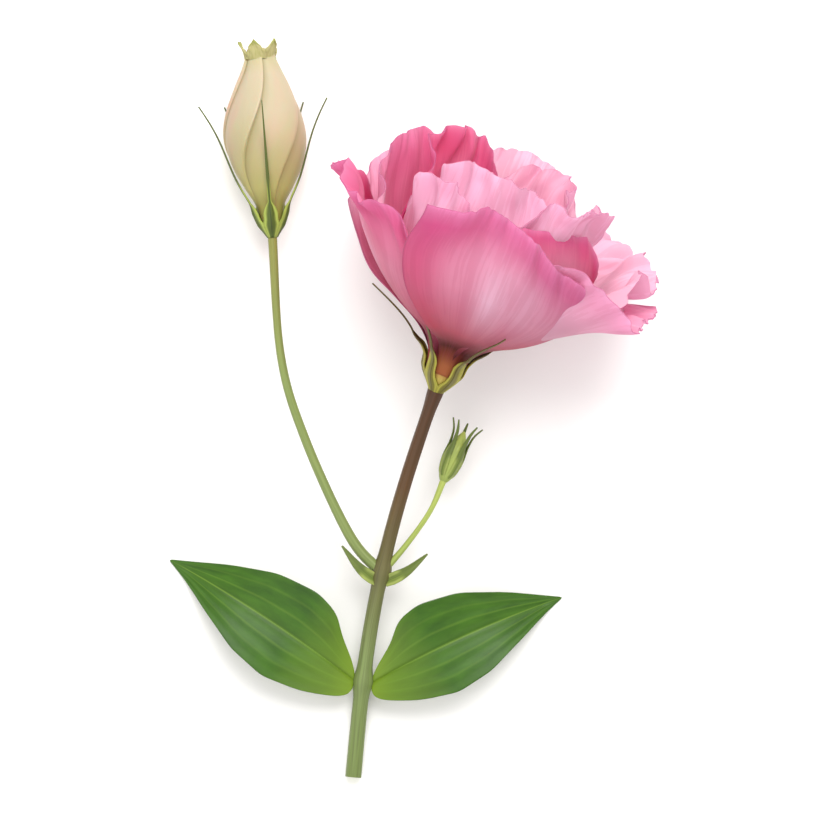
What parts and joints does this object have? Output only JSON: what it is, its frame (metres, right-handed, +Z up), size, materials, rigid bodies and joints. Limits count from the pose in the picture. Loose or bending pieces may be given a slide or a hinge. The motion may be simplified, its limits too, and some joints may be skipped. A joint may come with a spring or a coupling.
{
  "type": "lisianthus flower",
  "caption": "Cut pink lisianthus stem lying down, with an open double bloom of layered ruffled petals, a closed cream bud on a side branch, a small green bud and oval leaves.",
  "frame": {"origin": "middle of the part's footprint on the table it lies on, at the level of the table", "axes": "+Z up from the table, +Y along the stem from the cut end to the bloom, +X to the right of someone who looks down with the bloom away from them"},
  "size_m": [0.1218, 0.1836, 0.0758],
  "materials": {
    "petal_pink": "soft satin, thin and translucent",
    "calyx_olive": "satin",
    "anther_orange": "matte",
    "pistil_green": "satin",
    "bud_cream": "soft satin",
    "bud_calyx_green": "satin",
    "stem_green": "waxy satin",
    "leaf_green": "waxy satin"
  },
  "bodies": {
    "root": {"corolla": "petal_pink", "calyx": "calyx_olive", "stamens": "anther_orange", "pistil": "pistil_green", "bud_corolla": "bud_cream", "bud_calyx": "bud_calyx_green", "stem": "stem_green", "leaf_left": "leaf_green", "leaf_right": "leaf_green"}
  },
  "joints": []
}
